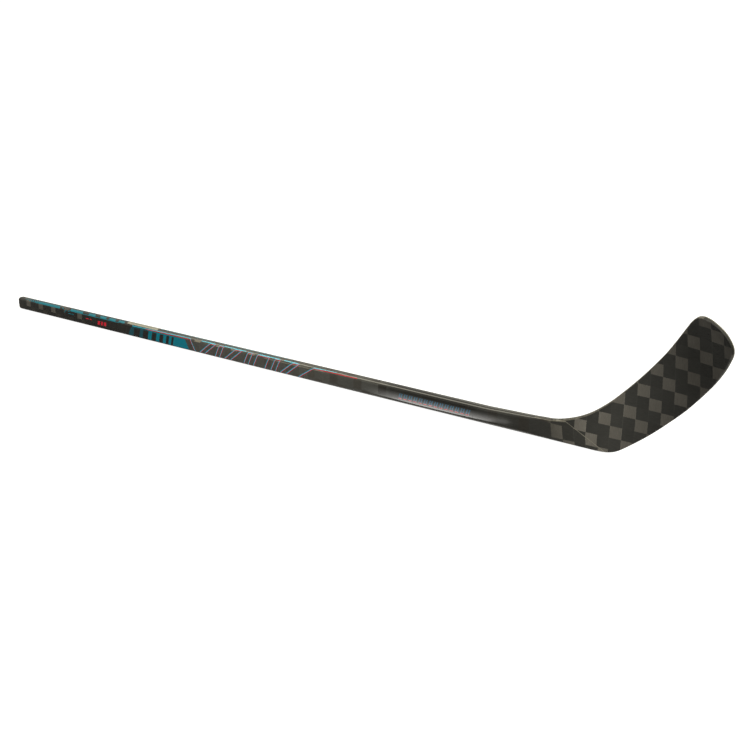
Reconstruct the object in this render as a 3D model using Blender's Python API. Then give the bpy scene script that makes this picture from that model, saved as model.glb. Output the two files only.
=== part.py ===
"""Left-handed ice hockey stick: hollow carbon shaft, fused hosel and foam-cored curved blade.

Two flat coordinate pairs describe the stick before the blade is bent, both in millimetres
from the heel point:
    (u, v)  along the shaft towards the blade, and up from the shaft's lower narrow face
    (t, w)  along the blade towards the toe, and across it towards its upper edge
The forehand face looks towards -Y. The blade bends towards -Y on an arc whose straight
generators run across the blade.
"""

import math

import bmesh
import bpy
from mathutils import Vector

MM = 0.001

# Driving dimensions, in millimetres.
STICK_LENGTH = 1524.0
SHAFT_HEIGHT = 28.6
SHAFT_WIDTH = 19.1
SHAFT_RADIUS = 6.4
SHAFT_WALL = 2.0
TAPER_START = -512.0
TAPER_END = -292.0
TAPER_DEPTH = 0.35
HOSEL_HEIGHT = SHAFT_HEIGHT - 2 * TAPER_DEPTH
FIT_GAP = 0.3

HOSEL_START = -230.0
TENON_LENGTH = 60.0
HOSEL_WALL = 1.8
GLUE_THICKNESS = 0.5
FAN_START = -140.0

CAP_FLANGE = 3.0
CAP_BEVEL = 1.6
CAP_SPIGOT = 30.0
CAP_WALL = 2.0

LABEL_START = -1106.0
LABEL_LENGTH = 100.0
LABEL_WRAP = math.radians(40.0)
LABEL_THICKNESS = 0.25

BLADE_ANGLE = math.radians(43.9)
BEND_START = 56.0
BEND_RADIUS = 406.0
SKIN_THICKNESS = 1.0
SKIN_CHAMFER = 0.8
EDGE_BAND = 3.5
RIB_WIDTH = 4.0
RIB_PLACE = 0.45
CORE_START = 36.0
TOE_PLY_LINE = 256.6
TOE_CHAMFER = 1.4
SEAM_GAP = 0.8

# Where the slanted seam at the heel meets the lower and the upper outline, as u.
SEAM_LOWER_U = -8.0
SEAM_UPPER_U = -77.0

CORNER_STEPS = 5
OUTLINE_STEPS = 12
NECK_STATIONS = 4
FAN_STATIONS = 8
HEEL_STATIONS = 5
BLADE_STATIONS = 16
TOE_STATIONS = 9


def to_blade(u, v):
    """Shaft coordinates (u, v) as blade coordinates (t, w)."""
    cosine, sine = math.cos(BLADE_ANGLE), math.sin(BLADE_ANGLE)
    return u * cosine + v * sine, v * cosine - u * sine


def to_shaft(t, w):
    """Blade coordinates (t, w) as shaft coordinates (u, v)."""
    cosine, sine = math.cos(BLADE_ANGLE), math.sin(BLADE_ANGLE)
    return t * cosine - w * sine, t * sine + w * cosine


# Outline points as (t, w): the neck's and heel's first, then the blade's to the toe's tip.
TOE_TIP = (267.9, 50.0)
LOWER_POINTS = [
    to_blade(HOSEL_START, TAPER_DEPTH), to_blade(-130.0, TAPER_DEPTH), to_blade(-60.0, TAPER_DEPTH),
    to_blade(-26.0, TAPER_DEPTH), to_blade(-10.2, 1.5), to_blade(6.0, 6.3),
    (29.5, -3.1), (70.0, -6.0), (110.0, -5.6), (139.0, -4.0), (191.5, 3.4), (222.0, 10.5),
    (241.0, 16.7), (255.8, 23.4), (264.1, 32.7),
]
UPPER_POINTS = [
    to_blade(HOSEL_START, SHAFT_HEIGHT - TAPER_DEPTH), to_blade(-206.0, SHAFT_HEIGHT - TAPER_DEPTH),
    to_blade(-180.0, 29.1), to_blade(-148.0, 30.1), to_blade(-119.0, 31.3), to_blade(-92.0, 33.4),
    to_blade(-73.0, 38.2), to_blade(-54.3, 45.8), to_blade(-36.2, 56.3),
    (38.0, 63.2), (61.0, 62.9), (110.0, 66.0), (164.0, 72.5), (194.0, 78.2), (226.5, 85.0),
    (240.0, 87.2), (249.2, 86.2), (257.4, 80.5), (264.1, 69.0),
]

# Thickness of the hosel against the fan's progress, and of the blade against t.
NECK_THICKNESS = [(HOSEL_START, SHAFT_WIDTH), (-200.0, 18.8), (-170.0, 17.8), (FAN_START, 16.4)]
FAN_THICKNESS = [(0.0, 16.4), (0.4, 13.2), (0.75, 11.0), (1.0, 9.7)]
BLADE_THICKNESS = [(-30.0, 9.7), (36.0, 8.4), (110.0, 7.2), (200.0, 6.2), (275.0, 5.5)]
SEAM_CORNER_RADIUS = 3.2


def ramp(value, knots):
    """Straight-line interpolation through (position, value) knots."""
    for (left, low), (right, high) in zip(knots, knots[1:]):
        if value <= right:
            share = max(0.0, (value - left) / (right - left))
            return low + (high - low) * share
    return knots[-1][1]


def smooth_curve(points, steps):
    """Cubic Hermite curve through the points, with chord-length tangents."""
    count = len(points)
    chord = [0.0]
    for (ax, ay), (bx, by) in zip(points, points[1:]):
        chord.append(chord[-1] + math.hypot(bx - ax, by - ay))
    tangents = []
    for i in range(count):
        before, after = max(i - 1, 0), min(i + 1, count - 1)
        span = chord[after] - chord[before]
        tangents.append([(points[after][k] - points[before][k]) / span for k in (0, 1)])
    curve = []
    for i in range(count - 1):
        span = chord[i + 1] - chord[i]
        for step in range(steps):
            s = step / steps
            h00 = 2 * s**3 - 3 * s**2 + 1
            h10 = s**3 - 2 * s**2 + s
            h01 = 3 * s**2 - 2 * s**3
            h11 = s**3 - s**2
            curve.append(tuple(
                h00 * points[i][k] + h10 * span * tangents[i][k]
                + h01 * points[i + 1][k] + h11 * span * tangents[i + 1][k]
                for k in (0, 1)))
    curve.append(points[-1])
    return curve


# One smooth outline round the toe, split at its tip.
OUTLINE = smooth_curve(LOWER_POINTS + [TOE_TIP] + UPPER_POINTS[::-1], OUTLINE_STEPS)
TIP_INDEX = len(LOWER_POINTS) * OUTLINE_STEPS
LOWER_EDGE = OUTLINE[:TIP_INDEX + 1]
UPPER_EDGE = OUTLINE[TIP_INDEX:][::-1]


def edge_at_t(edge, t):
    """Point (t, w) where an outline passes the given t on the blade."""
    for (left, low), (right, high) in zip(edge, edge[1:]):
        if left <= t <= right:
            return t, low + (high - low) * (t - left) / (right - left)
    return edge[-1]


def edge_at_u(edge, u):
    """Point (t, w) where an outline passes the given u along the shaft."""
    shaft_edge = [to_shaft(*point) for point in edge]
    for (left, low), (right, high) in zip(shaft_edge, shaft_edge[1:]):
        if left <= u <= right:
            return to_blade(u, low + (high - low) * (u - left) / (right - left))
    return edge[0]


def place(t, w, depth):
    """Flat point (t, w), offset along the bent blade's normal, as a position in metres."""
    angle = max(t - BEND_START, 0.0) / BEND_RADIUS
    along = min(t, BEND_START) + (BEND_RADIUS + depth) * math.sin(angle)
    back = depth - (BEND_RADIUS + depth) * (1.0 - math.cos(angle))
    x, z = to_shaft(along, w)
    return Vector((x, back, z)) * MM


class Station:
    """One straight line across the stick, from its lower to its upper outline."""

    def __init__(self, lower, upper, thickness, radius=0.0):
        self.lower = lower
        self.upper = upper
        self.thickness = thickness
        self.radius = radius
        self.width = math.hypot(upper[0] - lower[0], upper[1] - lower[1])

    def point(self, across, depth):
        """Position at a distance across from the lower outline and a depth from the middle."""
        share = across / self.width
        t = self.lower[0] + (self.upper[0] - self.lower[0]) * share
        w = self.lower[1] + (self.upper[1] - self.lower[1]) * share
        return place(t, w, depth)


def shifted(point, distance):
    """An outline point (t, w) moved along the shaft's direction."""
    u, v = to_shaft(*point)
    return to_blade(u + distance, v)


def neck_stations():
    """Upright stations from the shaft's joint to where the stations start to fan out."""
    stations = []
    for i in range(NECK_STATIONS):
        u = HOSEL_START + (FAN_START - HOSEL_START) * i / NECK_STATIONS
        thickness = ramp(u, NECK_THICKNESS)
        radius = SHAFT_RADIUS * thickness / SHAFT_WIDTH
        stations.append(Station(edge_at_u(LOWER_EDGE, u), edge_at_u(UPPER_EDGE, u), thickness, radius))
    return stations


def fan_stations():
    """Stations that turn from upright to the slanted seam at the heel."""
    stations = []
    start_radius = SHAFT_RADIUS * ramp(FAN_START, NECK_THICKNESS) / SHAFT_WIDTH
    for i in range(FAN_STATIONS + 1):
        share = i / FAN_STATIONS
        lower = edge_at_u(LOWER_EDGE, FAN_START + (SEAM_LOWER_U - FAN_START) * share)
        upper = edge_at_u(UPPER_EDGE, FAN_START + (SEAM_UPPER_U - FAN_START) * share)
        radius = start_radius + (SEAM_CORNER_RADIUS - start_radius) * share
        stations.append(Station(lower, upper, ramp(share, FAN_THICKNESS), radius))
    return stations


def heel_stations():
    """Stations from the seam to the first one square across the blade."""
    stations = []
    lower_start = shifted(edge_at_u(LOWER_EDGE, SEAM_LOWER_U), SEAM_GAP)[0]
    upper_start = shifted(edge_at_u(UPPER_EDGE, SEAM_UPPER_U), SEAM_GAP)[0]
    for i in range(HEEL_STATIONS + 1):
        share = i / HEEL_STATIONS
        lower_t = lower_start + (CORE_START - lower_start) * share
        upper_t = upper_start + (CORE_START - upper_start) * share
        middle_t = (lower_t + upper_t) / 2
        stations.append(Station(edge_at_t(LOWER_EDGE, lower_t), edge_at_t(UPPER_EDGE, upper_t),
                                ramp(middle_t, BLADE_THICKNESS)))
    return stations


def square_station(t):
    """Station square across the blade at t."""
    return Station(edge_at_t(LOWER_EDGE, t), edge_at_t(UPPER_EDGE, t), ramp(t, BLADE_THICKNESS))


def blade_stations():
    """Square stations from the cores' start to the toe's ply line."""
    last = TOE_PLY_LINE - FIT_GAP / 2
    return [square_station(CORE_START + (last - CORE_START) * i / BLADE_STATIONS)
            for i in range(BLADE_STATIONS + 1)]


def toe_stations():
    """Square stations from the toe's ply line to its tip, closer together as it rounds off."""
    first = TOE_PLY_LINE + FIT_GAP / 2
    last = TOE_TIP[0] - 0.02
    stations = []
    for i in range(TOE_STATIONS + 1):
        share = math.sin(math.pi / 2 * i / TOE_STATIONS)
        stations.append(square_station(first + (last - first) * share))
    return stations


def section(height, width, radius):
    """Rounded rectangle as (depth, height) pairs about its centre."""
    points = []
    for side_depth, side_height, start in ((1, 1, 0.0), (-1, 1, 90.0), (-1, -1, 180.0), (1, -1, 270.0)):
        for step in range(CORNER_STEPS + 1):
            angle = math.radians(start + 90.0 * step / CORNER_STEPS)
            depth = side_depth * (width / 2 - radius) + radius * math.cos(angle)
            rise = side_height * (height / 2 - radius) + radius * math.sin(angle)
            points.append((depth, rise))
    return points


def shaft_ring(x, height, width, radius):
    """Rounded section square across the shaft, x along it from the piece's own origin."""
    return [Vector((x, depth, rise)) * MM for depth, rise in section(height, width, radius)]


def station_ring(station, inset):
    """Rounded section on a station, inset all round."""
    height = station.width - 2 * inset
    width = station.thickness - 2 * inset
    radius = max(station.radius - inset, 0.6)
    middle = station.width / 2
    return [station.point(middle + rise, depth) for depth, rise in section(height, width, radius)]


def join_rings(bm, ring_a, ring_b):
    """Quads between two rings with equal counts."""
    count = len(ring_a)
    for i in range(count):
        j = (i + 1) % count
        bm.faces.new((ring_a[i], ring_a[j], ring_b[j], ring_b[i]))


def ring_vertices(bm, rings):
    """Each ring's points as mesh vertices."""
    return [[bm.verts.new(point) for point in ring] for ring in rings]


def solid_mesh(rings):
    """Closed solid through the rings, capped at both ends."""
    bm = bmesh.new()
    loops = ring_vertices(bm, rings)
    for ring_a, ring_b in zip(loops, loops[1:]):
        join_rings(bm, ring_a, ring_b)
    bm.faces.new(loops[0])
    bm.faces.new(loops[-1])
    return bm


def tube_mesh(outer_rings, inner_rings):
    """Wall between outer and inner rings, open at both ends."""
    bm = bmesh.new()
    outer = ring_vertices(bm, outer_rings)
    inner = ring_vertices(bm, inner_rings)
    for rings in (outer, inner):
        for ring_a, ring_b in zip(rings, rings[1:]):
            join_rings(bm, ring_a, ring_b)
    join_rings(bm, outer[0], inner[0])
    join_rings(bm, outer[-1], inner[-1])
    return bm


def material(name, colour, roughness, metallic=0.0):
    """Principled material."""
    made = bpy.data.materials.new(name)
    made.use_nodes = True
    shader = made.node_tree.nodes["Principled BSDF"]
    shader.inputs["Base Color"].default_value = (*colour, 1.0)
    shader.inputs["Roughness"].default_value = roughness
    shader.inputs["Metallic"].default_value = metallic
    return made


def add_part(name, bm, finish, parent, location=(0.0, 0.0, 0.0), smooth_angle=35.0):
    """Object from a bmesh, with its faces outwards and its flat faces left flat."""
    bmesh.ops.recalc_face_normals(bm, faces=bm.faces)
    mesh = bpy.data.meshes.new(name)
    bm.to_mesh(mesh)
    bm.free()
    mesh.shade_smooth()
    mesh.set_sharp_from_angle(angle=math.radians(smooth_angle))
    mesh.materials.append(finish)
    part = bpy.data.objects.new(name, mesh)
    bpy.context.scene.collection.objects.link(part)
    part.parent = parent
    part.location = Vector(location) * MM
    return part


def shaft_tube(root):
    """Hollow tube from the cap's flange to the hosel's shoulder, lower in its last part."""
    start = -STICK_LENGTH + CAP_FLANGE + FIT_GAP
    ends = (start, TAPER_START, TAPER_END, HOSEL_START - FIT_GAP / 2)
    heights = (SHAFT_HEIGHT, SHAFT_HEIGHT, HOSEL_HEIGHT, HOSEL_HEIGHT)

    def rings(wall):
        return [shaft_ring(u - start, height - 2 * wall, SHAFT_WIDTH - 2 * wall, SHAFT_RADIUS - wall)
                for u, height in zip(ends, heights)]
    carbon = material("shaft_carbon", (0.035, 0.034, 0.032), 0.32)
    tube = tube_mesh(rings(0.0), rings(SHAFT_WALL))
    add_part("shaft_tube", tube, carbon, root, (start, 0.0, SHAFT_HEIGHT / 2))


def butt_cap(root):
    """Plug with a bevelled flange outside the tube and an open hollow spigot inside it."""
    def ring(x, inset):
        return shaft_ring(x, SHAFT_HEIGHT - 2 * inset, SHAFT_WIDTH - 2 * inset, SHAFT_RADIUS - inset)
    spigot_inset = SHAFT_WALL + FIT_GAP
    end = CAP_FLANGE + CAP_SPIGOT
    rings = [
        ring(0.0, CAP_BEVEL),
        ring(CAP_BEVEL, 0.0),
        ring(CAP_FLANGE, 0.0),
        ring(CAP_FLANGE, spigot_inset),
        ring(end, spigot_inset),
        ring(end, spigot_inset + CAP_WALL),
        ring(CAP_FLANGE, spigot_inset + CAP_WALL),
    ]
    plastic = material("cap_plastic", (0.02, 0.02, 0.02), 0.55)
    add_part("butt_cap", solid_mesh(rings), plastic, root, (-STICK_LENGTH, 0.0, SHAFT_HEIGHT / 2))


def label_ring(x):
    """Section of the label: over the top flat and down both upper corners by the wrap angle."""
    under_radius = SHAFT_RADIUS + FIT_GAP
    over_radius = under_radius + LABEL_THICKNESS
    under, over = [], []
    for side, first in ((1, math.pi / 2 - LABEL_WRAP), (-1, math.pi / 2)):
        for step in range(CORNER_STEPS + 1):
            angle = first + LABEL_WRAP * step / CORNER_STEPS
            for ring, radius in ((under, under_radius), (over, over_radius)):
                depth = side * (SHAFT_WIDTH / 2 - SHAFT_RADIUS) + radius * math.cos(angle)
                rise = SHAFT_HEIGHT - SHAFT_RADIUS + radius * math.sin(angle)
                ring.append(Vector((x, depth, rise)) * MM)
    return under + over[::-1]


def shaft_label(root):
    """Thin paper label bent over the upper narrow face."""
    paper = material("label_paper", (0.72, 0.68, 0.58), 0.6)
    rings = [label_ring(0.0), label_ring(LABEL_LENGTH)]
    add_part("shaft_label", solid_mesh(rings), paper, root, (LABEL_START, 0.0, 0.0))


def tenon_ring(u, inset):
    """Rounded ring inside the shaft's bore, inset from the bore's wall, at u along the shaft."""
    wall = SHAFT_WALL + inset
    ring = shaft_ring(u, HOSEL_HEIGHT - 2 * wall, SHAFT_WIDTH - 2 * wall, max(SHAFT_RADIUS - wall, 0.6))
    rise = Vector((0.0, 0.0, SHAFT_HEIGHT / 2)) * MM
    return [point + rise for point in ring]


TENON_INSET = 2 * FIT_GAP + GLUE_THICKNESS
TENON_BORE_INSET = TENON_INSET + HOSEL_WALL


def hosel_shell(root):
    """Carbon neck: tenon in the shaft, shoulder, and tapered shell that ends at the heel seam."""
    shoulder = HOSEL_START + FIT_GAP / 2
    tenon_end = HOSEL_START - TENON_LENGTH
    stations = neck_stations()[1:] + fan_stations()
    shoulder_station = Station(to_blade(shoulder, TAPER_DEPTH),
                               to_blade(shoulder, SHAFT_HEIGHT - TAPER_DEPTH), SHAFT_WIDTH, SHAFT_RADIUS)
    outer = [tenon_ring(tenon_end, TENON_INSET), tenon_ring(shoulder, TENON_INSET)]
    outer += [station_ring(station, 0.0) for station in [shoulder_station] + stations]
    inner = [tenon_ring(tenon_end, TENON_BORE_INSET), tenon_ring(shoulder, TENON_BORE_INSET)]
    inner += [station_ring(station, HOSEL_WALL) for station in stations]
    carbon = material("hosel_carbon", (0.035, 0.034, 0.032), 0.3)
    add_part("hosel_shell", tube_mesh(outer, inner), carbon, root)


def tenon_adhesive(root):
    """Glue sleeve between the tenon and the shaft's bore."""
    ends = (HOSEL_START - TENON_LENGTH, HOSEL_START - FIT_GAP)
    outer = [tenon_ring(u, FIT_GAP) for u in ends]
    inner = [tenon_ring(u, FIT_GAP + GLUE_THICKNESS) for u in ends]
    glue = material("epoxy_adhesive", (0.62, 0.52, 0.30), 0.4)
    add_part("tenon_adhesive", tube_mesh(outer, inner), glue, root)


def hosel_foam_core(root):
    """Foam that fills the tenon and the neck."""
    tenon_end = HOSEL_START - TENON_LENGTH
    stations = neck_stations()[1:] + fan_stations()
    rings = [tenon_ring(u, TENON_BORE_INSET + FIT_GAP) for u in (tenon_end, HOSEL_START)]
    rings += [station_ring(station, HOSEL_WALL + FIT_GAP) for station in stations]
    foam = material("hosel_foam", (0.85, 0.80, 0.66), 0.85)
    add_part("hosel_foam_core", solid_mesh(rings), foam, root)


def skin_ring(station, side):
    """Blade skin's section: chamfered outside, flat inside. Side -1 is the forehand."""
    outside = side * station.thickness / 2
    inside = side * (station.thickness / 2 - SKIN_THICKNESS)
    chamfer = min(SKIN_CHAMFER, station.width / 4)
    return [
        station.point(chamfer, outside), station.point(station.width - chamfer, outside),
        station.point(station.width, inside), station.point(0.0, inside),
    ]


def blade_skins(root):
    """Front and back laminates from the heel seam to the toe's ply line."""
    stations = heel_stations() + blade_stations()[1:]
    for name, side in (("blade_front_skin", -1), ("blade_back_skin", 1)):
        carbon = material(name + "_carbon", (0.04, 0.039, 0.036), 0.3)
        add_part(name, solid_mesh([skin_ring(station, side) for station in stations]), carbon, root)


def band_ring(station, low, high):
    """Section between the skins, from low to high across the station."""
    depth = station.thickness / 2 - SKIN_THICKNESS - FIT_GAP
    return [station.point(low, -depth), station.point(high, -depth),
            station.point(high, depth), station.point(low, depth)]


def blade_edges(root):
    """Rim laminates between the skins along the lower and upper outlines."""
    stations = heel_stations() + blade_stations()[1:]
    laminate = material("edge_laminate", (0.09, 0.082, 0.07), 0.45)
    lower = [band_ring(station, 0.0, EDGE_BAND) for station in stations]
    upper = [band_ring(station, station.width - EDGE_BAND, station.width) for station in stations]
    add_part("blade_edge_bottom", solid_mesh(lower), laminate, root)
    add_part("blade_edge_top", solid_mesh(upper), laminate, root)


def core_limits(station):
    """Across-limits of the lower core, the rib and the upper core."""
    low = EDGE_BAND + FIT_GAP
    high = station.width - EDGE_BAND - FIT_GAP
    rib_low = low + (high - low - RIB_WIDTH) * RIB_PLACE
    return {
        "lower": (low, rib_low - FIT_GAP),
        "rib": (rib_low, rib_low + RIB_WIDTH),
        "upper": (rib_low + RIB_WIDTH + FIT_GAP, high),
    }


def blade_cores(root):
    """Two foam cores with the stiffening rib between them."""
    stations = [square_station(CORE_START + FIT_GAP)] + blade_stations()[1:]
    foam = material("blade_foam", (0.88, 0.84, 0.72), 0.85)
    rib = material("rib_laminate", (0.05, 0.05, 0.05), 0.4)
    for name, zone, finish in (("blade_core_lower", "lower", foam), ("blade_rib", "rib", rib),
                               ("blade_core_upper", "upper", foam)):
        rings = [band_ring(station, *core_limits(station)[zone]) for station in stations]
        add_part(name, solid_mesh(rings), finish, root)


def heel_insert(root):
    """Solid block between the neck's foam and the blade's cores."""
    low = EDGE_BAND + FIT_GAP
    rings = [band_ring(station, low, station.width - low) for station in heel_stations()]
    block = material("heel_block", (0.12, 0.11, 0.10), 0.5)
    add_part("heel_insert", solid_mesh(rings), block, root)


def toe_ring(station):
    """Toe section with both outer corners chamfered."""
    depth = station.thickness / 2
    chamfer = min(TOE_CHAMFER, station.width / 4)
    return [
        station.point(chamfer, -depth), station.point(station.width - chamfer, -depth),
        station.point(station.width, chamfer - depth), station.point(station.width, depth - chamfer),
        station.point(station.width - chamfer, depth), station.point(chamfer, depth),
        station.point(0.0, depth - chamfer), station.point(0.0, chamfer - depth),
    ]


def blade_toe_edge(root):
    """Solid moulded toe beyond the ply line."""
    rings = [toe_ring(station) for station in toe_stations()]
    laminate = material("toe_laminate", (0.05, 0.048, 0.044), 0.35)
    add_part("blade_toe_edge", solid_mesh(rings), laminate, root)


def centre_over_origin(root):
    """Move the stick so that its box is centred on the origin, with its underside at Z = 0."""
    bpy.context.view_layer.update()
    corners = [part.matrix_world @ vertex.co for part in root.children for vertex in part.data.vertices]
    for axis in (0, 1):
        values = [corner[axis] for corner in corners]
        root.location[axis] = -(min(values) + max(values)) / 2


def main():
    for existing in list(bpy.data.objects):
        bpy.data.objects.remove(existing, do_unlink=True)
    root = bpy.data.objects.new("stick", None)
    bpy.context.scene.collection.objects.link(root)
    builders = (shaft_tube, butt_cap, shaft_label, hosel_shell, tenon_adhesive, hosel_foam_core,
                heel_insert, blade_skins, blade_edges, blade_cores, blade_toe_edge)
    for build in builders:
        build(root)
    centre_over_origin(root)


main()
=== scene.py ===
"""Looks of the left-handed ice hockey stick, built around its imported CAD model.

The visible pieces are rebuilt here as fine meshes with woven carbon, printed and moulded finishes.
Flat coordinates are in millimetres from the heel point, before the blade is bent:
    (u, v)  along the shaft towards the blade, and up from its lower narrow face
    (t, w)  along the blade towards the toe, and across it towards its upper edge
    (u, s)  along the shaft, and round its section from the middle of the front face upwards
The forehand face looks towards -Y, and the blade bends towards -Y on an arc.
"""

import math

import bmesh
import bpy
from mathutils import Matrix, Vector
from mathutils.geometry import delaunay_2d_cdt


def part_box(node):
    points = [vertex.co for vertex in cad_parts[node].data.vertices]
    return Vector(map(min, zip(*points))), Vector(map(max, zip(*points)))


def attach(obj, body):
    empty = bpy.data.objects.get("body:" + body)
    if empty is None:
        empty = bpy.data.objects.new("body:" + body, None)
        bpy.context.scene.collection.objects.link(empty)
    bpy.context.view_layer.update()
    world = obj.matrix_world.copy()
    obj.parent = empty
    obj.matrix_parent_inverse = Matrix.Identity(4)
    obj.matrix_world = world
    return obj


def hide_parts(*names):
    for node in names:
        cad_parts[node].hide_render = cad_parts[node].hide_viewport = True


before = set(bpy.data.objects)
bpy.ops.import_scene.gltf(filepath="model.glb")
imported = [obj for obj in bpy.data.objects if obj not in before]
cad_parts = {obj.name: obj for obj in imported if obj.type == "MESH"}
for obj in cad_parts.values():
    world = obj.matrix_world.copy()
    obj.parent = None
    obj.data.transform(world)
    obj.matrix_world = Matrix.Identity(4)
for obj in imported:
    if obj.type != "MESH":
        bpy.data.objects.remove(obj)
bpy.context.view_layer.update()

MM = 0.001
BODY = "root"

# The stick's dimensions, as in the CAD model.
STICK_LENGTH = 1524
SHAFT_HEIGHT = 28.6
SHAFT_WIDTH = 19.1
SHAFT_RADIUS = 6.4
SHAFT_WALL = 2
TAPER_START = -512
TAPER_END = -292
TAPER_DEPTH = 0.35
HOSEL_START = -230
TENON_LENGTH = 60
TENON_INSET = 3.1
TENON_WALL = 1.8
FAN_START = -140
CAP_FLANGE = 3
CAP_SPIGOT = 30
CAP_WALL = 2
FIT_GAP = 0.3
BLADE_ANGLE = math.radians(43.9)
BEND_START = 56
BEND_RADIUS = 406
SKIN_THICKNESS = 1
EDGE_BAND = 3.5
CORE_START = 36
TOE_PLY_LINE = 256.6
SEAM_LOWER_U = -8
SEAM_UPPER_U = -77
SEAM_CORNER_RADIUS = 1.3
SEAM_CROWN = 0.03

# Gap that is left between neighbouring pieces here, so that they don't share a surface.
HAIR = 0.04

# Weave: one cell's side, and the lattice's zero lines, in millimetres. One cell in three shows.
CELL = 18.02
WEAVE_U = -95
WEAVE_V = 79.82

# Slight outward crown of the shaft's faces, as the turn from a face's middle to its corner.
WIDE_CROWN = math.radians(2.8)
NARROW_CROWN = math.radians(5)
CORNER_STEPS = 8
WIDE_STEPS = 4
NARROW_STEPS = 2
LEAST_RADIUS = 0.6


def to_blade(u, v):
    """Shaft coordinates (u, v) as blade coordinates (t, w)."""
    cosine, sine = math.cos(BLADE_ANGLE), math.sin(BLADE_ANGLE)
    return u * cosine + v * sine, v * cosine - u * sine


def to_shaft(t, w):
    """Blade coordinates (t, w) as shaft coordinates (u, v)."""
    cosine, sine = math.cos(BLADE_ANGLE), math.sin(BLADE_ANGLE)
    return t * cosine - w * sine, t * sine + w * cosine


# The outlines below and above, from the hosel's start to the toe: (u, v) on the neck, (t, w) on the blade.
TOE_TIP = (267.6, 50)
NECK_LOWER = [
    (HOSEL_START, TAPER_DEPTH), (-130, TAPER_DEPTH), (-60, TAPER_DEPTH), (-26, TAPER_DEPTH),
    (-10.2, 1.5), (6, 6.3),
]
LOWER_POINTS = [to_blade(*point) for point in NECK_LOWER] + [
    (29.5, -3.1), (70, -6), (110, -5.6), (139, -4), (191.5, 3.4), (222, 10.5),
    (241, 16.9), (255.6, 23.6), (263.8, 32.8),
]
NECK_UPPER = [
    (HOSEL_START, SHAFT_HEIGHT - TAPER_DEPTH), (-206, SHAFT_HEIGHT - TAPER_DEPTH), (-180, 29.1),
    (-148, 30.1), (-119, 31.3), (-92, 33.4), (-73, 38.2), (-54.3, 45.8), (-36.2, 56.3),
]
UPPER_POINTS = [to_blade(*point) for point in NECK_UPPER] + [
    (38, 63.2), (61, 62.9), (110, 66), (164, 72.5), (194, 78.2), (226.5, 85),
    (240, 87), (249.1, 86), (257.2, 80.4), (263.8, 68.9),
]

# Thicknesses: (u, mm) on the neck, (share of the way to the seam, mm) and (t, mm) on the blade.
NECK_THICKNESS = [(HOSEL_START, SHAFT_WIDTH), (-200, 18.8), (-170, 17.8), (FAN_START, 16.4)]
FAN_THICKNESS = [(0, 16.4), (0.4, 13.2), (0.75, 11), (1, 9.7)]
BLADE_THICKNESS = [(-30, 9.7), (36, 8.4), (110, 7.2), (200, 6.2), (275, 5.5)]


def mix(start, end, share):
    return start + (end - start) * share


def ramp(value, knots, ease=False):
    """Value between (position, value) knots: on straight lines, or easing in and out at each knot."""
    for (left, low), (right, high) in zip(knots, knots[1:]):
        if value <= right:
            share = max(0, (value - left) / (right - left))
            if ease:
                share *= share * (3 - 2 * share)
            return mix(low, high, share)
    return knots[-1][1]


def smooth_curve(points, steps):
    """Cubic Hermite curve through the points, with chord-length tangents."""
    spans = [math.dist(a, b) for a, b in zip(points, points[1:])]
    tangents = []
    for i in range(len(points)):
        before, after = max(i - 1, 0), min(i + 1, len(spans))
        length = sum(spans[before:after])
        tangents.append([(b - a) / length for a, b in zip(points[before], points[after])])
    curve = []
    for i, span in enumerate(spans):
        for step in range(steps):
            s = step / steps
            ease = s * s * (3 - 2 * s)
            leave, arrive = span * s * (1 - s) ** 2, span * s * s * (s - 1)
            curve.append(tuple(
                mix(a, b, ease) + leave * da + arrive * db
                for a, b, da, db in zip(*points[i:i + 2], *tangents[i:i + 2])))
    return curve + [points[-1]]


def left_normal(a, b):
    """Unit vector square to the way from a to b, on its left."""
    length = math.dist(a, b)
    return (a[1] - b[1]) / length, (b[0] - a[0]) / length


OUTLINE_STEPS = 24
OUTLINE = smooth_curve(LOWER_POINTS + [TOE_TIP] + UPPER_POINTS[::-1], OUTLINE_STEPS)
TIP_INDEX = len(LOWER_POINTS) * OUTLINE_STEPS
LOWER_EDGE = OUTLINE[:TIP_INDEX + 1]
UPPER_EDGE = OUTLINE[TIP_INDEX:][::-1]


def passing(points, x):
    """Height at which a line through (x, y) points first passes x, or None."""
    for (left, low), (right, high) in zip(points, points[1:]):
        if left <= x <= right:
            return mix(low, high, (x - left) / (right - left))
    return None


def edge_at_t(edge, t):
    """Point (t, w) where an outline passes the given t on the blade."""
    return t, passing(edge, t)


def edge_at_u(edge, u):
    """Point (t, w) where an outline passes the given u along the shaft."""
    return to_blade(u, passing([to_shaft(*point) for point in edge], u))


def measured_origin():
    """Heel point in the model's frame, in metres, from where the CAD's cap and shaft are."""
    cap_low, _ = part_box("butt_cap")
    shaft_low, shaft_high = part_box("shaft_tube")
    return Vector((cap_low[0] + STICK_LENGTH * MM, (shaft_low[1] + shaft_high[1]) / 2, shaft_low[2]))


ORIGIN = measured_origin()


def at(x, y, z):
    """Millimetres from the heel point as a position in the model's frame."""
    return ORIGIN + Vector((x, y, z)) * MM


def place(t, w, depth):
    """Flat point (t, w), offset along the bent blade's normal, as a position in metres."""
    angle = max(t - BEND_START, 0) / BEND_RADIUS
    along = min(t, BEND_START) + (BEND_RADIUS + depth) * math.sin(angle)
    back = depth - (BEND_RADIUS + depth) * (1 - math.cos(angle))
    x, z = to_shaft(along, w)
    return at(x, back, z)


def quarter_turn(step, steps):
    """(1 - cosine, sine) of a step's share of a right angle, for fillets."""
    angle = math.pi / 2 * step / steps
    return 1 - math.cos(angle), math.sin(angle)


def weave_uv(u, v):
    """Flat shaft coordinates as weave cells counted along and down."""
    return (u - WEAVE_U) / CELL, (WEAVE_V - v) / CELL


# ---- mesh building

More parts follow.
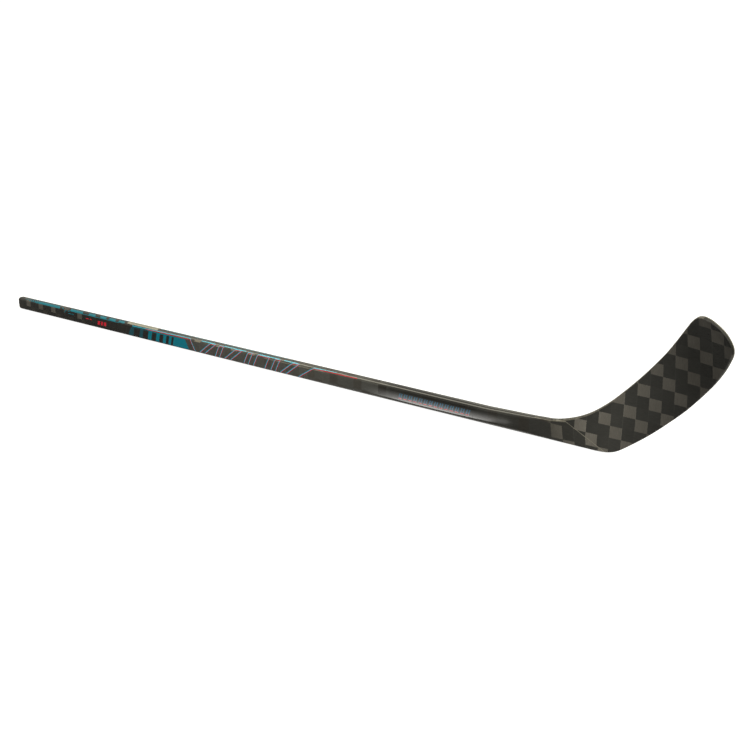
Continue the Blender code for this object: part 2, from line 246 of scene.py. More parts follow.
# Distances in millimetres under which vertices are joined and edges are dropped.
WELD = 0.002
CUT_WELD = 0.01
SHORTEST_EDGE = 0.0005

# Angles in degrees over which an edge is drawn sharp.
SHARP = 32
CUT_SHARP = 40


class Builder:
    """Collects quads and polygons with a weave UV and a material slot for each."""

    def __init__(self):
        self.bm = bmesh.new()
        self.uv = self.bm.loops.layers.uv.new("Weave")

    def ring(self, points):
        """Vertices for (position, uv) pairs, with their UVs kept beside them."""
        return [(self.bm.verts.new(position), uv) for position, uv in points]

    def face(self, corners, slot=0):
        """One face through (vertex, uv) corners. Corners that fell together are dropped."""
        kept = [corner for i, corner in enumerate(corners) if corner[0] is not corners[i - 1][0]]
        if len(kept) < 3:
            return
        face = self.bm.faces.new([vertex for vertex, _ in kept])
        face.material_index = slot
        for loop, (_, uv) in zip(face.loops, kept):
            loop[self.uv].uv = uv

    def bridge(self, ring_a, ring_b, slot=0):
        """Quads between two rings with equal counts. The slot may depend on the place in the ring."""
        for i in range(len(ring_a)):
            j = (i + 1) % len(ring_a)
            self.face((ring_a[i], ring_a[j], ring_b[j], ring_b[i]), slot(i) if callable(slot) else slot)

    def loft(self, rings, slot=0, caps=()):
        """Quads between each ring and the next, and a face over each ring that is named in caps."""
        for ring_a, ring_b in zip(rings, rings[1:]):
            self.bridge(ring_a, ring_b, slot)
        for i in caps:
            self.face(rings[i])

    def finish(self, name, materials, node, slot, sharp=SHARP, weld=WELD):
        """Object that stands for a CAD node, rides on the body and has the given materials."""
        bmesh.ops.remove_doubles(self.bm, verts=self.bm.verts, dist=weld * MM)
        bmesh.ops.dissolve_degenerate(self.bm, edges=self.bm.edges, dist=SHORTEST_EDGE * MM)
        bmesh.ops.recalc_face_normals(self.bm, faces=self.bm.faces)
        mesh = bpy.data.meshes.new(name)
        self.bm.to_mesh(mesh)
        self.bm.free()
        mesh.shade_smooth()
        mesh.set_sharp_from_angle(angle=math.radians(sharp))
        piece = linked_object(name, mesh, materials)
        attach(piece, BODY)
        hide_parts(node)


def linked_object(name, mesh, materials):
    """New object in the scene for a mesh, with its materials."""
    for material in materials:
        mesh.materials.append(material)
    piece = bpy.data.objects.new(name, mesh)
    bpy.context.scene.collection.objects.link(piece)
    return piece


class Profile:
    """Rounded rectangular section with crowned faces, walked round from its front face's middle."""

    def __init__(self, height, width, radius, crown=1):
        self.half_width = width / 2
        wide_turn, narrow_turn = WIDE_CROWN * crown, NARROW_CROWN * crown
        wide_rise, wide_in = math.sin(wide_turn) / wide_turn, (1 - math.cos(wide_turn)) / wide_turn
        narrow_in = math.sin(narrow_turn) / narrow_turn
        narrow_rise = (1 - math.cos(narrow_turn)) / narrow_turn
        rise_left = height / 2 - radius * (math.cos(narrow_turn) - math.sin(wide_turn))
        in_left = width / 2 - radius * (math.cos(wide_turn) - math.sin(narrow_turn))
        scale = wide_rise * narrow_in - narrow_rise * wide_in
        self.wide = (rise_left * narrow_in - narrow_rise * in_left) / scale
        self.arc = radius * (math.pi / 2 - wide_turn - narrow_turn)
        narrow = (wide_rise * in_left - wide_in * rise_left) / scale
        self.arcs = ((self.wide, self.wide / wide_turn), (self.arc, radius), (narrow, narrow / narrow_turn))
        self.quarter = self.wide + self.arc + narrow

    def in_quarter(self, s):
        """(inwards, up, the normal's angle above level) at s between the two faces' middles."""
        inwards = rise = angle = 0
        for length, radius in self.arcs:
            turned = angle + min(s, length) / radius
            inwards += radius * (math.cos(angle) - math.cos(turned))
            rise += radius * (math.sin(turned) - math.sin(angle))
            angle = turned
            s = max(s - length, 0)
        return inwards, rise, angle

    def point(self, s):
        """(depth, rise, normal) at s, from the lower middle (-quarter) round to it again (3 quarters)."""
        back = s > self.quarter
        height = 2 * self.quarter - s if back else s
        inwards, rise, angle = self.in_quarter(min(abs(height), self.quarter))
        upward = math.copysign(1, height)
        side = 1 if back else -1
        normal = (0, side * math.cos(angle), upward * math.sin(angle))
        return side * (self.half_width - inwards), upward * rise, normal

    def stops(self):
        """Values of s at which the section is divided, from the lower middle right round."""
        upper, start = [], 0
        for (length, _), steps in zip(self.arcs, (WIDE_STEPS, CORNER_STEPS, NARROW_STEPS)):
            upper += [start + length * i / steps for i in range(steps)]
            start += length
        upper.append(self.quarter)
        front = [-s for s in reversed(upper)][:-1] + upper
        return front + [2 * self.quarter - s for s in reversed(front)][1:]

    def ring(self):
        """(s on the full section, depth, rise) once round this section."""
        scale = self.quarter / FULL_PROFILE.quarter
        return [(s, *self.point(s * scale)[:2]) for s in STOPS[:-1]]


FULL_PROFILE = Profile(SHAFT_HEIGHT, SHAFT_WIDTH, SHAFT_RADIUS)
STOPS = FULL_PROFILE.stops()


def shaft_profile(u, inset=0):
    """The shaft's section at u, lower past the taper, drawn in by inset."""
    drawn_in = inset + ramp(u, [(TAPER_START, 0), (TAPER_END, TAPER_DEPTH)])
    radius = max(SHAFT_RADIUS - inset, LEAST_RADIUS)
    return Profile(SHAFT_HEIGHT - 2 * drawn_in, SHAFT_WIDTH - 2 * inset, radius)


def shaft_point(u, s, lift=0):
    """Position on the shaft's surface or lifted off it; s is measured on the full section."""
    profile = shaft_profile(u)
    depth, rise, normal = profile.point(s * profile.quarter / FULL_PROFILE.quarter)
    return at(u, depth, SHAFT_HEIGHT / 2 + rise) + Vector(normal) * lift * MM


# The weave drops a little and is drawn together towards the butt: (u, shift in millimetres).
WEAVE_DROP = [(-1450, 4.6), (-500, 0)]
WEAVE_SLIP = [(-1524, 13), (-1250, 0)]


def shaft_uv(u, s):
    """Weave UV on the shaft, continuous round its section."""
    return weave_uv(u - ramp(u, WEAVE_SLIP), SHAFT_HEIGHT / 2 + s - ramp(u, WEAVE_DROP))


def shaft_ring(u, inset=0):
    """(position, weave UV) once round the shaft's section, drawn in by inset."""
    middle = SHAFT_HEIGHT / 2
    points = shaft_profile(u, inset).ring()
    return [(at(u, depth, middle + rise), shaft_uv(u, s)) for s, depth, rise in points]


# ---- printed graphics on the shaft

TEAL, CYAN, RED, DARK, PETROL, BEIGE, HAZE = "teal", "cyan", "red", "dark", "petrol", "beige", "haze"
INKS = {
    TEAL: ("teal_ink", (0.002, 0.150, 0.205)),
    CYAN: ("cyan_ink", (0.01, 0.36, 0.50)),
    RED: ("red_ink", (0.52, 0.014, 0.03)),
    DARK: ("dark_ink", (0.020, 0.020, 0.019)),
    PETROL: ("petrol_ink", (0.012, 0.062, 0.080)),
    BEIGE: ("beige_ink", (0.20, 0.18, 0.14)),
    HAZE: ("haze_ink", (0.020, 0.095, 0.165)),
}
LINE_WIDTH = 1.4
RED_WIDTH = 1.05

# Heights on the section, as s: the front face's printed foot, the line near its corner, the corner's
# fold, the top's middle and how far the bands go on over the top.
FRONT_LOW = -11.5
CORNER_LINE = 13.4
FOLD = 16.6
TOP_MIDDLE = FULL_PROFILE.quarter
BAND_END = TOP_MIDDLE + 9


def offset_line(points, distance):
    """The polyline moved to its left, with mitred corners."""
    normals = [left_normal(a, b) for a, b in zip(points, points[1:])]
    moved = []
    for i, (x, y) in enumerate(points):
        near = normals[max(i - 1, 0):i + 1]
        nx, ny = (sum(axis) / len(near) for axis in zip(*near))
        reach = distance / max(nx * nx + ny * ny, 0.25)
        moved.append((x + nx * reach, y + ny * reach))
    return moved


def stroke(ink_name, points, width):
    """Quads, mitred where they meet, that draw a line with the given width."""
    left, right = offset_line(points, width / 2), offset_line(points, -width / 2)
    return [(ink_name, [left[i], right[i], right[i + 1], left[i + 1]]) for i in range(len(points) - 1)]


def slanted(left, right, low, high, lean):
    """Parallelogram between two heights, its top moved by lean."""
    return [(left, low), (right, low), (right + lean, high), (left + lean, high)]


def double_line(points):
    """A cyan line with a red one beside it."""
    beside = offset_line(points, -(LINE_WIDTH + RED_WIDTH) / 2)
    return stroke(RED, beside, RED_WIDTH) + stroke(CYAN, points, LINE_WIDTH)


# Blocks near the butt, as (left, right, low): how they lean, and those that stand alone.
BAND_LEAN = -0.6
BAND_BLOCKS = [
    (-1309, -1262, 10.4), (-1240, -1216, 11.4), (-1198, -1176, 11.4),
    (-1166, -1143, 11.4), (-1132, -1112, 11.4),
]
SHRINKING_BLOCKS = 7
BUTT_STROKES = [
    [(-1346, 15), (-1336, 11.6)], [(-1334, 4), (-1324, 12.6)],
    [(-1319, 4.2), (-1297, 4.6)], [(-1318, 9), (-1308, 12)],
]


def over_corner(left, right, low):
    """Slanted teal block over the upper corner, darker where it goes on over the top."""
    corner = slanted(left, right, low, FOLD, BAND_LEAN * (FOLD - low))
    start = left + BAND_LEAN * (FOLD - low)
    top = slanted(start, start + right - left, FOLD, BAND_END, BAND_LEAN * (BAND_END - FOLD))
    return [(TEAL, corner), (PETROL, top)]


def butt_bands():
    """Teal bands over the upper corner and the top near the butt, with slanted breaks."""
    shapes = [(DARK, slanted(-1337, -1307, -4, 11, 6))] + over_corner(-1440, -1351, 10.6)
    for i in range(SHRINKING_BLOCKS):
        left = -1448 - 7.6 * i
        shapes += over_corner(left, left + 6.2 - 0.75 * i, 10.6 + 0.3 * i)
    shapes.append((TEAL, slanted(-1262, -1130, 10.2, 11.4, 0)))
    for block in BAND_BLOCKS:
        shapes += over_corner(*block)
    for points in BUTT_STROKES:
        shapes += stroke(TEAL, points, LINE_WIDTH)
    return shapes


# Slanted bars on the front face: (ink, left, right, low, high, lean).
FRONT_BARS = [
    (RED, -1251, -1241, 1.4, 3.6, 1), (RED, -1236, -1230, 1.4, 3.6, 1), (RED, -1208, -1200, -5, 3.6, 2.4),
    (RED, -1196, -1190, -5, 3.6, 2.4), (RED, -1186, -1177.5, -5, 3.6, 2.4),
] + [
    (DARK, left, left + 20 - 2.8 * i, FRONT_LOW, 7.2, 5.5)
    for i, left in enumerate((-1083, -1052, -1023, -998, -977, -960))
] + [
    # Short pale beige bars near the upper front corner.
    (BEIGE, left, right, 9.2, 12.2, 1.5)
    for left, right in ((-886, -869), (-823, -812), (-780, -764), (-736, -716))
]

# Teal panel under the dark bars, darker towards the butt.
PANEL_TOP = 9
PANEL_MIDDLE = -1034
PANEL = [
    (PETROL, [(-1100, FRONT_LOW), (PANEL_MIDDLE, FRONT_LOW), (PANEL_MIDDLE, PANEL_TOP),
              (-1084, PANEL_TOP), (-1090, 4)]),
    (TEAL, [(PANEL_MIDDLE, FRONT_LOW), (-903, FRONT_LOW), (-914, PANEL_TOP), (PANEL_MIDDLE, PANEL_TOP)]),
]


# Lines along the upper front corner, over the panel and after the last bar, and along the top.
TOP_LINE = TOP_MIDDLE + 1.5
CORNER_LINES = [
    (CYAN, [(-1084, CORNER_LINE - 2.6), (-1000, CORNER_LINE - 1.4), (-900, CORNER_LINE)], 1.5),
    (RED, [(-1040, 10.6), (-901, 10.9)], RED_WIDTH),
    (RED, [(-566, 11.2), (-466, 12)], 1.2),
    (CYAN, [(-566, 13), (-514, 14)], RED_WIDTH),
    (CYAN, [(-1002, TOP_LINE), (-842, TOP_LINE)], 1),
    (CYAN, [(-828, TOP_LINE), (-640, TOP_LINE)], 0.8),
]

# Open bars on the front face (left, width, lean), and what runs along the corner above them (left, right).
OPEN_BARS = [
    (-872, 15, 33), (-826, 12, 13), (-800, 17, 33), (-746, 12, 13),
    (-720, 30, 13), (-674, 12, 13), (-650, 15, 33),
]
CORNER_STROKES = [(-866, -828), (-800, -740), (-704, -652), (-640, -606)]


def open_bar(left, width, lean):
    """Slanted bar drawn as an open double line, from the foot to the upper corner."""
    outline = slanted(left, left + width, FRONT_LOW, CORNER_LINE - 0.6, lean)
    low_left, low_right, high_right, high_left = outline
    sides = [(low_left, high_left), (low_right, high_right), (high_left, high_right)]
    return [shape for side in sides for shape in double_line(side)]


def outlined_bars():
    """Row of slanted open bars between two slanted lines, which join the corner lines."""
    # Pale beige line along the lower part of the upper front corner.
    shapes = [(BEIGE, [(-690, 8.6), (-540, 9.2), (-540, 10), (-690, 9.6)])]
    shapes += double_line([(-899, CORNER_LINE), (-884, FRONT_LOW)])
    for bar in OPEN_BARS:
        shapes += open_bar(*bar)
    for left, right in CORNER_STROKES:
        shapes += stroke(CYAN, [(left, CORNER_LINE + 0.4), (right, CORNER_LINE + 0.4)], 1.9)
    return shapes + double_line([(-604, FRONT_LOW), (-566, 12.4), (-546, 12.8)])


TICKS = 14
TICK_START = -376
TICK_PITCH = 10.2


def tick_row():
    """Row of small slanted ticks on the front face before the hosel, blue over red."""
    shapes = []
    for i in range(TICKS):
        left = TICK_START + TICK_PITCH * i
        shapes.append((RED, slanted(left + 0.4, left + 6.4, -5.2, -4, 0.4)))
        for start in (left, left + 4.2):
            shapes.append((HAZE, slanted(start, start + 2.2, -4, 4.2, 2.6)))
    return shapes


def shaft_graphics():
    """All printed shapes on the shaft as (ink, outline) pairs, later ones on top."""
    lines = [shape for line in CORNER_LINES for shape in stroke(*line)]
    bars = [(name, slanted(*bar)) for name, *bar in FRONT_BARS]
    return butt_bands() + PANEL + lines + bars + outlined_bars() + tick_row()


# ---- materials


class Nodes:
    """Nodes of a new material or world, with its Principled shader unless it starts empty."""

    def __init__(self, name, empty=False, collection=bpy.data.materials):
        self.owner = collection.new(name)
        self.owner.use_nodes = True
        self.tree = self.owner.node_tree
        if empty:
            self.tree.nodes.clear()
        else:
            self.shader = self.tree.nodes["Principled BSDF"]

    def add(self, kind, inputs=None, **settings):
        """A new node. Each input is a socket to link or a plain value."""
        node = self.tree.nodes.new("ShaderNode" + kind)
        for key, value in settings.items():
            setattr(node, key, value)
        for key, value in (inputs or {}).items():
            self.feed(node, key, value)
        return node

    def out(self, kind, inputs=None, **settings):
        """A new node's first output."""
        return self.add(kind, inputs, **settings).outputs[0]

    def feed(self, node, key, value):
        if hasattr(value, "is_output"):
            self.tree.links.new(value, node.inputs[key])
        else:
            node.inputs[key].default_value = value

    def math(self, operation, *values):
        return self.out("Math", dict(enumerate(values)), operation=operation)

    def product(self, first, *others):
        for other in others:
            first = self.math("MULTIPLY", first, other)
        return first

    def vector(self, operation, inputs):
        return self.out("VectorMath", inputs, operation=operation)

    def spread(self, value, low, high, start=0, end=1, interpolation="LINEAR"):
        """Goes from low to high as the value goes from start to end, which may lie either way."""
        inputs = {"Value": value, "From Min": start, "From Max": end, "To Min": low, "To Max": high}
        return self.out("MapRange", inputs, interpolation_type=interpolation)

    def fade(self, value, start, end):
        """0 before start and 1 after end, easing between them."""
        return self.spread(value, 0, 1, start, end, "SMOOTHSTEP")

    def object_position(self):
        return self.add("TexCoord").outputs["Object"]

    def colour_ramp(self, value, knots):
        """Grey levels at positions from 0 to 1."""
        node = self.add("ValToRGB", {"Fac": value})
        elements = node.color_ramp.elements
        elements[0].position = knots[0][0]
        elements[1].position = knots[-1][0]
        for position, _ in knots[1:-1]:
            elements.new(position)
        for element, (_, level) in zip(elements, knots):
            element.color = (level, level, level, 1)
        return node.outputs["Color"]

    def blend(self, kind, factor, a, b):
        """Colour mix of a and b."""
        node = self.add("Mix", data_type="RGBA", blend_type=kind, clamp_result=True)
        self.feed(node, 0, factor)
        for key, value in ((6, a), (7, b)):
            self.feed(node, key, value if hasattr(value, "is_output") else (*value[:3], 1))
        return node.outputs[2]

    def weave_uv(self):
        return self.out("UVMap", uv_map="Weave")

    def stretched(self, coordinates, scale):
        """Coordinates scaled differently along each axis."""
        return self.vector("MULTIPLY", {0: coordinates, 1: scale})

    def noise(self, vector, scale, detail=3, roughness=0.6):
        inputs = {"Vector": vector, "Scale": scale, "Detail": detail, "Roughness": roughness}
        return self.out("TexNoise", inputs)

    def random(self, inputs, dimensions):
        return self.out("TexWhiteNoise", inputs, noise_dimensions=dimensions)

    def varied(self, noise, low, high):
        """A noise's middle range as values from low to high."""
        return self.spread(noise, low, high, 0.3, 0.7)

    def shaded(self, colour, level):
        """Base colour times a level."""
        grey = self.out("CombineXYZ", {0: level, 1: level, 2: level})
        self.link(self.blend("MULTIPLY", 1, colour, grey), "Base Color")

    def rough(self, noise, roughness, swing):
        """Roughness that varies by a swing to both sides."""
        self.link(self.varied(noise, roughness - swing, roughness + swing), "Roughness")

    def bump(self, height, strength, distance):
        self.link(self.out("Bump", {"Height": height, "Strength": strength, "Distance": distance}), "Normal")

    def link(self, output, socket):
        self.tree.links.new(output, self.shader.inputs[socket])

    def set(self, **values):
        for key, value in values.items():
            self.shader.inputs[key.replace("_", " ")].default_value = value


# Tow shades from the butt to the toe, as (u, linear grey): the two thirds of cells that run along,
# and the third that runs across. Besides the tows' own contrast, the levels paint in light and shade:
# the sheen each tow direction shows along the stick, brightest on the across tows near the heel,
# and the shade that darkens both towards the toe.
ALONG_TOW_WITH_PAINTED_LIGHT = [
    (-1524, 0.028), (-1400, 0.024), (-1250, 0.020), (-1080, 0.024), (-860, 0.066), (-700, 0.070),
    (-560, 0.070), (-450, 0.062), (-412, 0.057), (-394, 0.024), (-330, 0.019), (-240, 0.020),
    (-190, 0.034), (-150, 0.032), (-60, 0.036), (0, 0.044), (30, 0.036), (60, 0.0305),
    (100, 0.0215), (175, 0.0145),
]
ACROSS_TOW_WITH_PAINTED_LIGHT = [
    (-1524, 0.078), (-1262, 0.078), (-1246, 0.026), (-1080, 0.025), (-860, 0.066), (-600, 0.066),
    (-519, 0.056), (-466, 0.058), (-412, 0.026), (-330, 0.018), (-240, 0.018), (-190, 0.030),
    (-101, 0.030), (-97, 0.074), (-40, 0.146), (0, 0.118), (60, 0.080), (114, 0.047), (175, 0.0345),
]
LIGHT_TINT = (1, 0.93, 0.80)
DARK_TINT = (1, 0.985, 0.885)
U_FIRST, U_LAST = -1524, 180

# Lower rows of the shaft near the butt whose light cells stay dark, without the across tows' painted sheen:
# past this row, before this column.
DARK_ROW, DARK_COLUMN = 3.5, -40

# Share of a cell that the tows' edges wander, and the width of the fine line where tows meet.
RAGGED = 0.02
TOW_LINE = 0.022
CARBON_ROUGHNESS = 0.34


def carbon(name, shade=1):
    """Spread-tow carbon under a clear coat: square cells of which every third shows its other tow, with
    painted sheen and shade.
    """
    n = Nodes(name)
    uv = n.weave_uv()
    ragged = n.varied(n.noise(uv, 9), -RAGGED, RAGGED)
    split = n.add("SeparateXYZ", {0: uv})
    x = n.math("ADD", split.outputs[0], ragged)
    y = n.math("SUBTRACT", split.outputs[1], ragged)
    column, row = n.math("FLOOR", x), n.math("FLOOR", y)
    phase = n.math("FLOORED_MODULO", n.math("SUBTRACT", column, row), 3)
    across = n.math("LESS_THAN", phase, 0.5)

    share = n.spread(split.outputs[0], 0, 1, weave_uv(U_FIRST, 0)[0], weave_uv(U_LAST, 0)[0])

    def shades(tow):
        knots = [((u - U_FIRST) / (U_LAST - U_FIRST), level * shade) for u, level in tow]
        return n.colour_ramp(share, knots)

    # Each tow's base colour along the stick, with the sheen and shade of the studio light painted in.
    dark, light = shades(ALONG_TOW_WITH_PAINTED_LIGHT), shades(ACROSS_TOW_WITH_PAINTED_LIGHT)
    # The across cells' painted sheen, mostly taken off the lower rows near the butt.
    low_row = n.product(n.math("GREATER_THAN", row, DARK_ROW), n.math("LESS_THAN", column, DARK_COLUMN), 0.8)
    light = n.blend("MIX", low_row, light, dark)
    dark = n.blend("MULTIPLY", 1, dark, DARK_TINT)
    light = n.blend("MULTIPLY", 1, light, LIGHT_TINT)
    tow = n.blend("MIX", across, dark, light)

    fibres_along = n.noise(n.stretched(uv, (0.8, 26, 1)), 2.2, 4, 0.65)
    fibres_across = n.noise(n.stretched(uv, (26, 0.8, 1)), 2.2, 4, 0.65)
    pair = {0: across, 2: fibres_along, 3: fibres_across}
    fibres = n.out("Mix", pair, data_type="FLOAT")
    cell = n.out("CombineXYZ", {0: column, 1: row})
    patches = n.spread(n.random({"Vector": cell}, "3D"), 0.93, 1.07)
    grain = n.varied(n.noise(uv, 60, 2, 0.7), 0.88, 1.12)
    tone = n.product(n.varied(fibres, 0.72, 1.28), patches, grain)

    # Fine lines where neighbouring tows meet, stronger along some columns than others.
    to_line = n.math("ABSOLUTE", n.math("SUBTRACT", n.math("FRACT", n.math("ADD", x, 0.5)), 0.5))
    strength = n.spread(n.random({"W": n.math("ROUND", x)}, "1D"), 0, 0.5, 0.3, 1)
    line = n.product(n.math("LESS_THAN", to_line, TOW_LINE), strength)
    n.shaded(tow, n.math("ADD", tone, line))

    rough = n.varied(fibres, CARBON_ROUGHNESS - 0.06, CARBON_ROUGHNESS + 0.06)
    n.link(n.math("MULTIPLY_ADD", across, 0.05, rough), "Roughness")
    n.bump(n.math("MULTIPLY_ADD", across, 0.5, n.product(fibres, 0.6)), 0.10, 0.0002)
    n.set(Coat_Weight=1, Coat_Roughness=0.09, Coat_IOR=1.5, Specular_IOR_Level=0.02)
    return n.owner


def ink(name, colour):
    """Printed ink under the clear coat: one colour, with a finely mottled gloss."""
    n = Nodes(name)
    mottle = n.noise(n.weave_uv(), 24)
    n.set(Base_Color=(*colour, 1), Coat_Weight=1, Coat_Roughness=0.10, Specular_IOR_Level=0.02)
    n.rough(mottle, 0.35, 0.05)
    n.bump(mottle, 0.05, 0.0001)
    return n.owner


def layered(name, colours, scale=900, roughness=0.38, coat=0.4):
    """Edge-on laminate: fine layers of two shades with some mottling."""
    n = Nodes(name)
    position = n.object_position()
    layers = n.noise(n.stretched(position, (0.12, 1, 0.12)), scale)
    mottle = n.noise(position, 240)
    colour = n.blend("MIX", n.spread(layers, 0, 1, 0.35, 0.65), *colours)
    n.shaded(colour, n.varied(mottle, 0.85, 1.15))
    n.rough(mottle, roughness, 0.05)
    n.bump(layers, 0.12, 0.0001)
    n.set(Coat_Weight=coat, Coat_Roughness=0.15, Specular_IOR_Level=0.2)
    return n.owner


def moulded(name, colour, roughness, grain=900, strength=0.15, mottle=0.12):
    """Moulded or cut solid: fine grain, slight mottling."""
    n = Nodes(name)
    position = n.object_position()
    fine = n.noise(position, grain)
    broad = n.noise(position, grain / 12, 2, 0.5)
    n.shaded(colour, n.varied(broad, 1 - mottle, 1 + mottle))
    n.rough(fine, roughness, 0.06)
    n.bump(fine, strength, 0.0002)
    return n.owner


def foam(name, colour):
    """Closed-cell foam: small rounded cells with darker borders."""
    n = Nodes(name)
    inputs = {"Vector": n.object_position(), "Scale": 700}
    cells = n.out("TexVoronoi", inputs, feature="F1")
    n.shaded(colour, n.spread(cells, 1.05, 0.72, 0, 0.8))
    n.bump(cells, 0.4, 0.0004)
    n.set(Roughness=0.9)
    return n.owner


def paper(name, colour):
    """Printed paper: faint fibres under a satin film."""
    n = Nodes(name)
    fibres = n.noise(n.stretched(n.object_position(), (0.3, 1, 1)), 700)
    n.shaded(colour, n.varied(fibres, 0.93, 1.04))
    n.link(n.varied(fibres, 0.42, 0.55), "Roughness")
    n.bump(fibres, 0.1, 0.0001)
    return n.owner


# ---- the shaft


def cut_sheet(u_lines, s_lines, shapes):
    """Flat (u, s) sheet cut by grid lines and outlines: its points, faces and each face's shape, or -1.

    Each outline has its inside on its left.
    """
    points, edges, outlines = [], [], []

    def line(a, b):
        points.extend((Vector(a), Vector(b)))
        edges.append((len(points) - 2, len(points) - 1))

    for s in s_lines:
        line((u_lines[0], s), (u_lines[-1], s))
    for u in u_lines:
        line((u, s_lines[0]), (u, s_lines[-1]))
    for _, outline in shapes:
        outlines.append(list(range(len(points), len(points) + len(outline))))
        points.extend(Vector(point) for point in outline)
    found, _, faces, _, _, sources = delaunay_2d_cdt(points, edges, outlines, 4, 0.01, True)
    return found, faces, [max(source) if source else -1 for source in sources]


def build_shaft():
    """Tube with its printed skin, its bore and its two cut ends."""
    start = -STICK_LENGTH + CAP_FLANGE + HAIR
    end = HOSEL_START - HAIR
    repeat = 3 * CELL
    first_cell, last_cell = math.ceil((start - WEAVE_U) / repeat), math.floor((end - WEAVE_U) / repeat)
    cell_lines = [WEAVE_U + repeat * i for i in range(first_cell, last_cell + 1)]
    shapes = shaft_graphics()
    u_lines = sorted([start, TAPER_START, TAPER_END, end] + cell_lines)
    points, faces, sources = cut_sheet(u_lines, STOPS, shapes)

    b = Builder()
    corners = b.ring([(shaft_point(*point), shaft_uv(*point)) for point in points])
    slots = {name: i + 1 for i, name in enumerate(INKS)}
    for face, source in zip(faces, sources):
        b.face([corners[i] for i in face], slots[shapes[source][0]] if source >= 0 else 0)
    bore = [b.ring(shaft_ring(u, SHAFT_WALL)) for u in (start, TAPER_START, TAPER_END, end)]
    b.loft(bore)
    b.bridge(b.ring(shaft_ring(start)), bore[0])
    b.bridge(b.ring(shaft_ring(end)), bore[-1])
    materials = [carbon("shaft_carbon_weave")] + [ink(*values) for values in INKS.values()]
    b.finish("shaft", materials, "shaft_tube", "shaft_carbon", CUT_SHARP, CUT_WELD)


CAP_FILLET = 1.6
CAP_FILLET_STEPS = 8


def build_cap():
    """Butt cap: rounded flange, and a hollow spigot inside the shaft."""
    butt = -STICK_LENGTH
    shoulder = butt + CAP_FLANGE
    end = shoulder + CAP_SPIGOT
    outside = SHAFT_WALL + FIT_GAP
    inside = outside + CAP_WALL
    places = []
    for i in range(CAP_FILLET_STEPS, -1, -1):
        inset, along = quarter_turn(i, CAP_FILLET_STEPS)
        places.append((butt + CAP_FILLET * (1 - along), CAP_FILLET * inset))
    places += [(shoulder, 0), (shoulder, outside), (end, outside), (end, inside), (shoulder, inside)]
    b = Builder()
    b.loft([b.ring(shaft_ring(u, inset)) for u, inset in places], caps=(0, -1))
    material = moulded("cap_moulded", (0.016, 0.016, 0.015), 0.42)
    b.finish("butt_end_cap", [material], "butt_cap", "cap_plastic")


# Label: its ends along the shaft, how far it reaches down from the top's middle, how far its ends
# lean, its clearance and thickness, its divisions, and the rows that are printed.
LABEL_START, LABEL_END = -1106, -1006
LABEL_REACH = 7.4
LABEL_LEAN = 0.35
LABEL_CLEARANCE = 0.03
LABEL_THICKNESS = 0.14
LABEL_COLUMNS, LABEL_ROWS = 12, 28
PRINTED_ROWS = {9, 10, 18}
LABEL_WELD = 0.0005


def build_label():
    """Paper label bent over the top, with slanted ends and printed lines along it."""
    b = Builder()

    def column_ring(column, lift):
        ring = []
        for i in range(LABEL_ROWS + 1):
            row = LABEL_REACH * (2 * i / LABEL_ROWS - 1)
            u = mix(LABEL_START, LABEL_END, column / LABEL_COLUMNS) - row * LABEL_LEAN
            ring.append((shaft_point(u, TOP_MIDDLE + row, lift), shaft_uv(u, TOP_MIDDLE + row)))
        return b.ring(ring)

    lifts = (LABEL_CLEARANCE, LABEL_CLEARANCE + LABEL_THICKNESS)
    under, over = ([column_ring(column, lift) for column in range(LABEL_COLUMNS + 1)] for lift in lifts)

    def strip(side_a, side_b, slot=lambda i: 0):
        for i in range(len(side_a) - 1):
            b.face((side_a[i], side_a[i + 1], side_b[i + 1], side_b[i]), slot(i))

    for column in range(LABEL_COLUMNS):
        inner = 0 < column < LABEL_COLUMNS - 1
        strip(over[column], over[column + 1], lambda i: int(inner and i in PRINTED_ROWS))
        strip(under[column], under[column + 1])
    for i in (0, -1):
        strip([ring[i] for ring in under], [ring[i] for ring in over])
        strip(under[i], over[i])
    materials = [paper("label_stock", (0.275, 0.267, 0.222)), ink("label_print", (0.06, 0.06, 0.055))]
    b.finish("size_label", materials, "shaft_label", "label_paper", weld=LABEL_WELD)


# ---- the hosel


class Station:
    """One straight line across the stick, from its lower to its upper outline."""

    def __init__(self, lower, upper, thickness, radius=0, crown=1):
        self.lower = lower
        self.upper = upper
        self.thickness = thickness
        self.radius = radius
        self.crown = crown
        self.width = math.hypot(upper[0] - lower[0], upper[1] - lower[1])

    def point(self, across, depth, drop=0):
        """(position, weave UV) at a distance across and a depth from the middle."""
        t, w = (mix(low, high, across / self.width) for low, high in zip(self.lower, self.upper))
        u, v = to_shaft(t, w)
        return place(t, w, depth), weave_uv(u, v + drop)

    def section(self, inset=0):
        """Ring round the station's rounded section, with the same weave on both its faces."""
        radius = max(self.radius - inset, LEAST_RADIUS)
        profile = Profile(self.width - 2 * inset, self.thickness - 2 * inset, radius, self.crown)
        middle = self.width / 2
        ring = []
        for s, depth, rise in profile.ring():
            share = s / FULL_PROFILE.quarter
            share = min(share, 2 - share)
            ring.append((self.point(middle + rise, depth)[0], self.point(middle * (1 + share), 0)[1]))
        return ring


NECK_STEPS = 12
FAN_STEPS = 28
PLY_EDGE = 1.5


